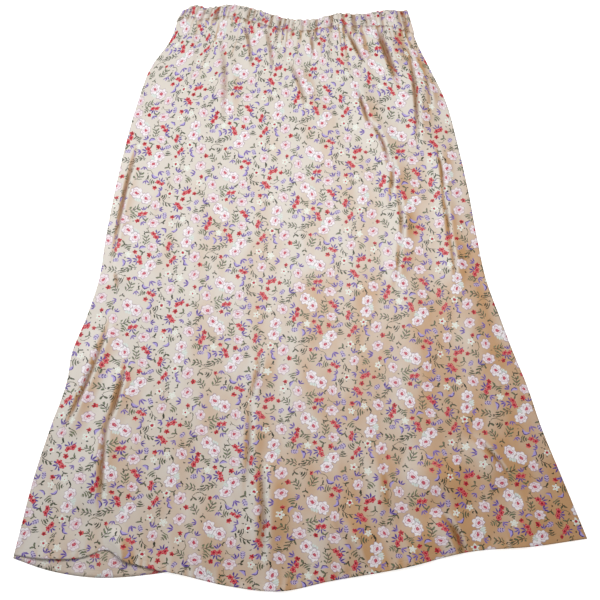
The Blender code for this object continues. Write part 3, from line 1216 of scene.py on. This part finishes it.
@dataclass
class Panel:
    """A panel of the skirt: its grid, its thickness and how its cloth was gathered.

    `fullness` is how much wider the cloth was cut than it lies under the band, and the
    gathers let it out over `let_out` metres. `fan` is how much the print's lines spread
    apart for each metre. `crowding` draws the grid's rows towards the seam and the hem.
    """

    cut: Cut
    layer: Layer
    name: str
    columns: int
    rows: int
    wall: float
    fullness: float = 0.30
    let_out: float = 0.10
    fan: float = 0.15
    crowding: float = 0.085

    def shares(self) -> tuple[np.ndarray, np.ndarray]:
        """Return the grid's shares across and down, closer together near both ends.

        Formula: the share down is an even step plus a sine that slows it at the seam
        and at the hem.
        """
        across = np.linspace(0.0, 1.0, self.columns + 1)
        even = np.linspace(0.0, 1.0, self.rows + 1)
        down = even - self.crowding * np.sin(TURN * even)
        return np.meshgrid(across, down)

    def flat(self, x: np.ndarray, y: np.ndarray, below: np.ndarray) -> np.ndarray:
        """Return the cloth's own coordinates: x let out where it was gathered."""
        let = 1.0 + self.fullness * np.exp(-((below / self.let_out) ** 2))
        return np.stack([x * let, y], axis=-1)

    def printed(self, x: np.ndarray, y: np.ndarray, below: np.ndarray) -> np.ndarray:
        """Return the print's coordinates: the cloth's own, fanned out along the length."""
        cloth = self.flat(x, y, below)
        cloth[..., 0] *= 1.0 + self.fan * y
        return cloth

    def below_seam(self, across: np.ndarray, y: np.ndarray) -> np.ndarray:
        """Return how far below the band's seam the points lie."""
        _, top = self.cut.panel(across, np.zeros_like(across), self.layer)
        return top - y

    def above_hem(self, across: np.ndarray, y: np.ndarray) -> np.ndarray:
        """Return how far above the hem the points lie."""
        _, hem = self.cut.panel(across, np.ones_like(across), self.layer)
        return y - hem

    def width(self, y: np.ndarray) -> np.ndarray:
        """Return the skirt's width at a height."""
        own = y - self.cut.shift[1]
        return through(SIDE_ROWS, 2, own) - through(SIDE_ROWS, 1, own)

    def flat_area(self) -> tuple[float, float, float]:
        """Return the width, length and area of the panel with its gathers let out."""
        across, down = self.shares()
        x, y = self.cut.panel(across, down, self.layer)
        flat = self.flat(x, y, self.below_seam(across, y))
        widths = flat[:, -1, 0] - flat[:, 0, 0]
        heights = -np.gradient(y.mean(axis=1))
        length = float((y[0] - y[-1]).max())
        return float(widths.max()), length, float((widths * heights).sum())

    def sew(
        self, points: np.ndarray, cloth: np.ndarray, numbers: dict[str, np.ndarray]
    ) -> bpy.types.Object:
        """Make the sheet from its face, its wall below that.

        Args:
            points: the face's points, rows by columns by 3.
            cloth: the print's coordinates, rows by columns by 2.
            numbers: the numbers that the cloth's material reads, each rows by columns.

        Returns:
            The finished object.
        """
        piece = grid_object(self.name, points, cloth, numbers, ring=False)
        solid = piece.modifiers.new("wall", "SOLIDIFY")
        solid.thickness = self.wall
        solid.offset = -1.0
        return piece


@dataclass
class FrontPanel(Panel):
    """The front: creased, gathered and lying on the back.

    It lies `rest` above the surface, rises by `band_rise` to the band and is tucked
    `tuck` under it. Its lift keeps only `seam_share` at the seam and ends at the sides
    within `side_drop`, a share of the width. The hem waves by `hem_lift` and puckers.
    `away` is how strongly a slope that falls to the right counts as turned away from
    the window, for painted shade there and painted highlight on slopes that rise.
    Gaps between puckers lower than `pucker_height` get painted shade near the band,
    and so does a line `seam_below` under it. Each `..._reach` is how far it goes.
    """

    gathers: Gathers = field(default_factory=Gathers)
    hem_puckers: Gathers = field(
        default_factory=lambda: Gathers(90, 4, 0.0014, 0.0030, 0.006, 0.024, 0.0002, 0.0012)
    )
    rest: float = 0.0013
    band_rise: float = 0.0029
    band_reach: float = 0.03
    tuck: float = 0.0018
    tuck_reach: float = 0.003
    seam_share: float = 0.45
    seam_reach: float = 0.012
    side_drop: float = 0.035
    hem_lift: float = 0.0012
    hem_reach: float = 0.02
    hem_waves: float = 31.0
    away: float = 3.0
    least_shading: float = -0.6
    pucker_height: float = 0.0016
    pucker_shade: float = 0.60
    pucker_reach: float = 0.016
    seam_shade: float = 0.40
    seam_below: float = 0.0012
    seam_half: float = 0.0014

    def build(self) -> bpy.types.Object:
        """Make the front panel.

        Formula: over its resting height, the panel rises to the band, the creases and
        gathers lift it, and all of it dies away to the side seams. The hem waves.

        Returns:
            The finished object.
        """
        across, down = self.shares()
        x, y = self.cut.panel(across, down, self.layer)
        below = self.below_seam(across, y)
        above = self.above_hem(across, y)
        folds = Folds(tuple(CREASES), tuple(self.cut.shift))
        lift, depth, slip = folds.read(x, y)
        pucker = self.gathers.read(across, self.width(y), below)
        sides = soft_step(across, self.side_drop) * soft_step(1.0 - across, self.side_drop)
        seam = self.seam_share + (1.0 - self.seam_share) * soft_step(below, self.seam_reach)
        wave = self.hem_lift * (1.0 + np.sin(across * self.hem_waves))
        wave = wave * np.exp(-above / self.hem_reach)
        wave = wave + self.hem_puckers.read(across, self.width(y), above)
        z = self.rest + self.band_rise * np.exp(-below / self.band_reach)
        z = z + sides * (lift * seam + pucker + wave)
        y = y + self.tuck * np.exp(-below / self.tuck_reach)
        cloth = self.printed(x, y, below)
        cloth[..., 0] += slip
        # painted shade in the valleys, between the puckers and along the band's seam
        shade = np.clip(depth + self._seam_shade(pucker, below), 0.0, 1.0) * sides
        # painted shade on slopes that fall to the right, away from the window; painted highlight
        # on those that rise
        slope = np.gradient(z, axis=1) / np.gradient(x, axis=1)
        painted_shading = np.clip(-self.away * slope, self.least_shading, 1.0)
        numbers = {"fold": shade, "painted_shading": painted_shading, "edge": above}
        return self.sew(np.stack([x, y, z], axis=-1), cloth, numbers)

    def _seam_shade(self, pucker: np.ndarray, below: np.ndarray) -> np.ndarray:
        """Return the shade between the puckers and along the band's seam."""
        gap = np.clip(1.0 - pucker / self.pucker_height, 0.0, 1.0)
        gap = gap * np.exp(-below / self.pucker_reach)
        line = np.exp(-(((below - self.seam_below) / self.seam_half) ** 2))
        return self.pucker_shade * gap + self.seam_shade * line


@dataclass
class BackPanel(Panel):
    """The back: flat on the surface, its inside showing below the front's hem.

    Its print is mirrored, for it is seen from behind, and starts at `print_start`.
    """

    print_start: float = 0.31

    def build(self) -> bpy.types.Object:
        """Make the back panel.

        Formula: a level sheet, whose face is one wall above the surface.

        Returns:
            The finished object.
        """
        across, down = self.shares()
        x, y = self.cut.panel(across, down, self.layer)
        z = np.full_like(x, self.wall)
        cloth = self.printed(x, y, self.below_seam(across, y))
        cloth[..., 0] = self.print_start - cloth[..., 0]
        plain = np.zeros_like(x)
        numbers = {"fold": plain, "painted_shading": plain, "edge": self.above_hem(across, y)}
        return self.sew(np.stack([x, y, z], axis=-1), cloth, numbers)


@dataclass
class Waistband:
    """The elastic casing: a flattened ring with a rounded wall, puckered in front.

    Its wall is rounded over `rounded`, a share of its `depth`, at both edges. The front
    is crowned by `crown`, with the puckers on it, which keep `edge_pucker` of their
    height at the edges. They scallop the top edge by `scallop` for each `pucker_height`
    of theirs above `pucker_middle`. Gaps between puckers lower than `shade_height` are
    shaded. `fullness` spreads the print, and the back's starts `back_start` further on.
    """

    cut: Cut
    gathers: Gathers
    wall: float = 0.0020
    hollow: float = 0.0004
    columns: int = 330
    back_columns: int = 80
    turn_columns: int = 10
    face_rows: int = 12
    edge_rows: int = 5
    depth: float = 0.024
    rounded: float = 0.06
    crown: float = 0.0008
    crown_power: float = 0.7
    edge_pucker: float = 0.6
    scallop: float = 0.0009
    pucker_middle: float = 0.001
    pucker_height: float = 0.0016
    fullness: float = 1.35
    back_start: float = 0.07
    shade_height: float = 0.0018
    shade_most: float = 0.65
    shading_share: float = 0.5

    def ring(self) -> tuple[np.ndarray, np.ndarray, np.ndarray]:
        """Walk once round the ring, seen from its end.

        Returns:
            The share across, the angle of the outward direction from +X, and 1 on the
            front, for each column.
        """
        front = np.linspace(0.0, 1.0, self.columns)
        back = np.linspace(1.0, 0.0, self.back_columns)
        bend = np.linspace(0.0, 1.0, self.turn_columns + 2)[1:-1]
        across = np.concatenate([front, np.ones_like(bend), back, np.zeros_like(bend)])
        up = math.pi / 2.0
        turns = [np.full_like(front, up), up - math.pi * bend]
        turns += [np.full_like(back, -up), -up - math.pi * bend]
        angle = np.concatenate(turns)
        is_front = np.concatenate([np.ones_like(front), 1.0 - bend, np.zeros_like(back), bend])
        return across, angle, is_front

    def section(self) -> tuple[np.ndarray, np.ndarray]:
        """Walk once round the wall's section.

        Returns:
            How far out of the wall's middle, from -1 to 1, and the share up, for each
            row: up the outer face, over the top edge, down the inner face and round
            the lower edge.
        """
        low = self.rounded
        high = 1.0 - self.rounded
        face = np.linspace(low, high, self.face_rows)
        bend = np.linspace(0.0, math.pi, self.edge_rows + 2)[1:-1]
        swing = self.rounded * np.sin(bend)
        straight = np.ones_like(face)
        out = np.concatenate([straight, np.cos(bend), -straight, -np.cos(bend)])
        up = np.concatenate([face, high + swing, face[::-1], low - swing])
        return out, up

    def build(self) -> bpy.types.Object:
        """Make the casing.

        Formula: the ring's flat loop, a half wall and hollow from its middle plane,
        moved along its outward direction by the wall's section; the front's outer face
        is crowned and puckered, and its top edge scalloped by the same puckers.

        Returns:
            The finished object.
        """
        across, angle, is_front = self.ring()
        out, up = self.section()
        across, up_grid = np.meshgrid(across, up)
        angle, out_grid = np.meshgrid(angle, out)
        is_front = np.broadcast_to(is_front, across.shape)
        x, y = self.cut.band(across, up_grid)
        span = self.cut.band_top_right - self.cut.band_top_left
        off_middle = np.abs(self.depth * (up_grid - 0.5))
        rise = self.gathers.read(across, np.full_like(across, span), -off_middle)
        outer = np.clip(out_grid, 0.0, 1.0) * is_front
        half = (self.wall + self.hollow) / 2.0
        reach = half + out_grid * self.wall / 2.0
        swell = np.sin(math.pi * np.clip(up_grid, 0.0, 1.0)) ** self.crown_power
        kept = self.edge_pucker + (1.0 - self.edge_pucker) * swell
        puff = (self.crown * swell + rise * kept) * outer
        middle = half + self.wall / 2.0
        x = x + np.cos(angle) * reach
        z = middle + np.sin(angle) * reach + puff
        nick = (rise - self.pucker_middle) * self.scallop / self.pucker_height
        y = y + nick * up_grid**3 * is_front
        z = np.maximum(z, 0.0)
        along = across * span * self.fullness + (1.0 - is_front) * self.back_start
        cloth = np.stack([along, y], axis=-1)
        # painted shade between the puckers, which also warms the ground
        gap = np.clip(1.0 - rise / self.shade_height, 0.0, 1.0)
        shade = gap * outer * self.shade_most
        points = np.stack([x, y, z], axis=-1)
        numbers = {"fold": shade, "painted_shading": self.shading_share * shade, "edge": np.ones_like(shade)}
        return grid_object("elastic_casing", points, cloth, numbers, ring=True)


# ---------------------------------------------------------------- floor, light, camera


class Lamp(NamedTuple):
    """A square soft light that faces the skirt: its name, place, side, power and tint."""

    name: str
    place: Row
    size: float
    power: float
    tint: Row


LAMPS: list[Lamp] = [
    Lamp("window", (-0.90, 0.36, 0.85), 0.5, 5.6, (0.97, 0.98, 1.0)),
    Lamp("ceiling", (0.12, 0.26, 0.95), 0.6, 5.5, (1.0, 0.99, 0.97)),
]


@dataclass(frozen=True)
class Studio:
    """A pale floor, soft light from the upper left and a camera above the hem side.

    The floor glows by `glow`, and `sky` is the light that comes from all round.
    """

    tilt: float = math.radians(15.5)
    distance: float = 1.40
    lens: float = 54.48
    sensor: float = 36.0
    floor_size: float = 6.0
    floor_drop: float = 0.0004
    floor_grey: float = 0.88
    floor_roughness: float = 0.9
    glow: float = 0.70
    sky: float = 0.25

    def floor(self) -> bpy.types.Object:
        """Make the floor as one square just under the skirt."""
        half = self.floor_size / 2.0
        corners = [(-half, -half), (half, -half), (half, half), (-half, half)]
        mesh = bpy.data.meshes.new("floor")
        mesh.from_pydata([(x, y, -self.floor_drop) for x, y in corners], [], [(0, 1, 2, 3)])
        paint = bpy.data.materials.new("floor_paint")
        shader = Graph(paint).shader
        shader.inputs["Base Color"].default_value = (*[self.floor_grey] * 3, 1.0)
        shader.inputs["Roughness"].default_value = self.floor_roughness
        shader.inputs["Emission Color"].default_value = (1.0, 1.0, 1.0, 1.0)
        shader.inputs["Emission Strength"].default_value = self.glow
        mesh.materials.append(paint)
        return add_object("floor", mesh)

    def hang(self, lamp: Lamp) -> None:
        """Hang a lamp and turn it to the skirt's middle."""
        light = bpy.data.lights.new(lamp.name, "AREA")
        light.size = lamp.size
        light.energy = lamp.power
        light.color = lamp.tint
        hung = add_object(lamp.name, light)
        hung.location = lamp.place
        hung.rotation_euler = (-Vector(lamp.place)).to_track_quat("-Z", "Y").to_euler()

    def light_room(self) -> None:
        """Give the scene a white world of even light."""
        world = bpy.data.worlds.new("studio")
        world.use_nodes = True
        sky = world.node_tree.nodes["Background"]
        sky.inputs["Color"].default_value = (1.0, 1.0, 1.0, 1.0)
        sky.inputs["Strength"].default_value = self.sky
        bpy.context.scene.world = world

    def aim(self, target: Row) -> None:
        """Set the camera on the hem side of a point on the surface, looking at it."""
        data = bpy.data.cameras.new("camera")
        data.lens = self.lens
        data.sensor_width = self.sensor
        camera = add_object("camera", data)
        back = self.distance * math.sin(self.tilt)
        height = self.distance * math.cos(self.tilt)
        camera.location = (target[0], target[1] - back, height)
        camera.rotation_euler = (self.tilt, 0.0, 0.0)
        bpy.context.scene.camera = camera

    def build(self, target: Row) -> None:
        """Set the floor, the lights, the world and the camera.

        Args:
            target: the point on the surface that the camera looks at.
        """
        self.floor()
        for lamp in LAMPS:
            self.hang(lamp)
        self.light_room()
        self.aim(target)
        bpy.context.scene.view_settings.view_transform = "Standard"


def dress(piece: bpy.types.Object, finish: PrintedSatin, node: str) -> None:
    """Give a piece its cloth, let it ride on the skirt and stand for its node."""
    piece.data.materials.append(finish.material())
    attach(piece, "root")
    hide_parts(node)
    LOG.info("%s: %d faces", piece.name, len(piece.data.polygons))


def main() -> None:
    """Build the skirt's pieces in order, then the studio round them."""
    logging.basicConfig(level=logging.INFO, format="%(name)s %(message)s")
    cut = Cut()
    cut.seat(*CAD_BOX)
    gathers = Gathers()
    face = PrintedSatin("face_cloth")
    inside = PrintedSatin("inside_cloth", print_share=0.9)
    back = BackPanel(cut, Layer.BACK, "back_sheet", columns=120, rows=90, wall=0.0006)
    back_piece = back.build()
    dress(back_piece, inside, "back_panel")
    front = FrontPanel(
        cut, Layer.FRONT, "front_sheet", columns=262, rows=178, wall=0.0005, gathers=gathers
    )
    front_piece = front.build()
    dress(front_piece, face, "front_panel")
    band_piece = Waistband(cut, gathers).build()
    dress(band_piece, PrintedSatin("band_cloth"), "waistband")
    for panel, piece, rests in ((back, back_piece, []), (front, front_piece, ["back_panel"])):
        width, length, area = panel.flat_area()
    Studio().build((cut.shift[0], cut.shift[1], 0.0))


if __name__ == "__main__":
    main()
